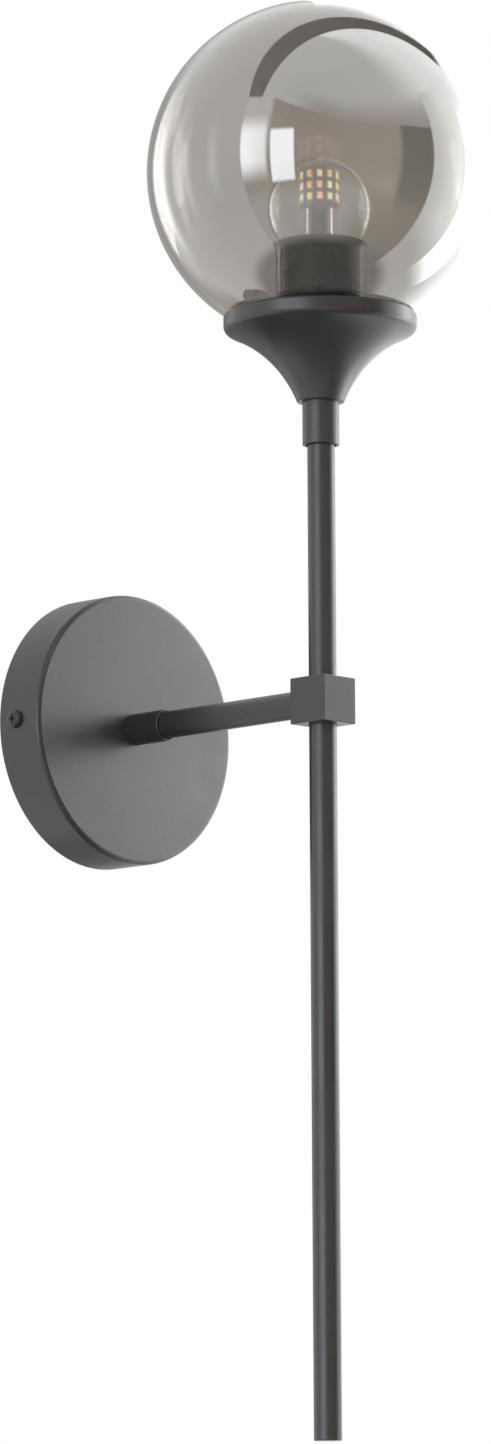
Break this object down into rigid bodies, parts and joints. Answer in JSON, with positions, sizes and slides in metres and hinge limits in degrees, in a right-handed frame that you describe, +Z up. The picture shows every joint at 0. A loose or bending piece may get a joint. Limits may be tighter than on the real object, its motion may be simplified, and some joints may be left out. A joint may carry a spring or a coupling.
{
  "type": "globe wall sconce",
  "caption": "Wall sconce with a round wall plate, a short arm, a slim vertical rod through a cube joint, and a flared cup holding a smoke glass globe over a small bulb.",
  "frame": {"origin": "centre of the wall plate and of its bracket's slots, on the wall surface", "axes": "+Z up along the rod, -Y out of the wall into the room, +X to the right seen from the room"},
  "size_m": [0.15, 0.213, 0.6238],
  "materials": {
    "charcoal_powder_coat": "fine sand-textured satin powder coat",
    "black_screw": "blackened steel",
    "zinc_steel": "bright zinc plated",
    "brass": "plain",
    "black_plastic": "moulded, semi-gloss",
    "white_plastic": "moulded",
    "ceramic": "glazed ceramic",
    "brown_insulation": "wire insulation",
    "blue_insulation": "wire insulation",
    "green_insulation": "wire insulation",
    "clear_glass": "clear blown glass",
    "nickel": "nickel plated",
    "black_insulator": "glass insulator",
    "led_board": "solder-masked board",
    "led_phosphor": "phosphor gel",
    "smoke_glass": "smoke-grey blown glass, glossy",
    "seal_rubber": "translucent silicone"
  },
  "bodies": {
    "fixture": {"canopy_shell": "charcoal_powder_coat", "arm_collar": "charcoal_powder_coat", "arm_tube": "charcoal_powder_coat", "cube_block": "charcoal_powder_coat", "upper_rod": "charcoal_powder_coat", "lower_rod": "charcoal_powder_coat", "rod_end_plug": "charcoal_powder_coat", "cup_coupler": "charcoal_powder_coat", "trumpet_cup": "charcoal_powder_coat", "canopy_side_screws": "black_screw", "wall_bracket": "zinc_steel", "earth_washer": "zinc_steel", "canopy_washer": "zinc_steel", "canopy_nut": "zinc_steel", "canopy_nipple": "zinc_steel", "cube_nipple_upper": "zinc_steel", "cube_nipple_lower": "zinc_steel", "cube_nipple_arm": "zinc_steel", "cup_nipple": "zinc_steel", "cup_nut": "zinc_steel", "terminal_clamp_screws": "zinc_steel", "terminal_block_screw": "zinc_steel", "earth_screw": "brass", "terminal_tubes": "brass", "lampholder_terminals": "brass", "screw_shell": "brass", "centre_contact": "brass", "lampholder_cap": "black_plastic", "lampholder_sleeve": "black_plastic", "terminal_block": "white_plastic", "lampholder_insert": "ceramic", "live_wire": "brown_insulation", "neutral_wire": "blue_insulation", "earth_wire": "green_insulation"},
    "bulb": {"bulb_glass": "clear_glass", "bulb_stem": "clear_glass", "led_column": "led_board", "led_chips": "led_phosphor", "bulb_cap": "nickel", "bulb_insulator": "black_insulator", "bulb_contact": "brass"},
    "seal": {"globe_seal": "seal_rubber"},
    "globe": {"globe_glass": "smoke_glass"}
  },
  "joints": [
    {"name": "bulb_draw", "type": "slide", "parent": "fixture", "child": "bulb", "axis": [0, 0, 1], "range_m": [0, 0.045]},
    {"name": "globe_lift", "type": "slide", "parent": "fixture", "child": "seal", "axis": [0, 0, 1], "range_m": [0, 0.1]},
    {"name": "globe_turn", "type": "hinge", "parent": "seal", "child": "globe", "pos_m": [0, -0.138, 0.16], "axis": [0, 0, 1], "range_deg": [0, 540]}
  ]
}
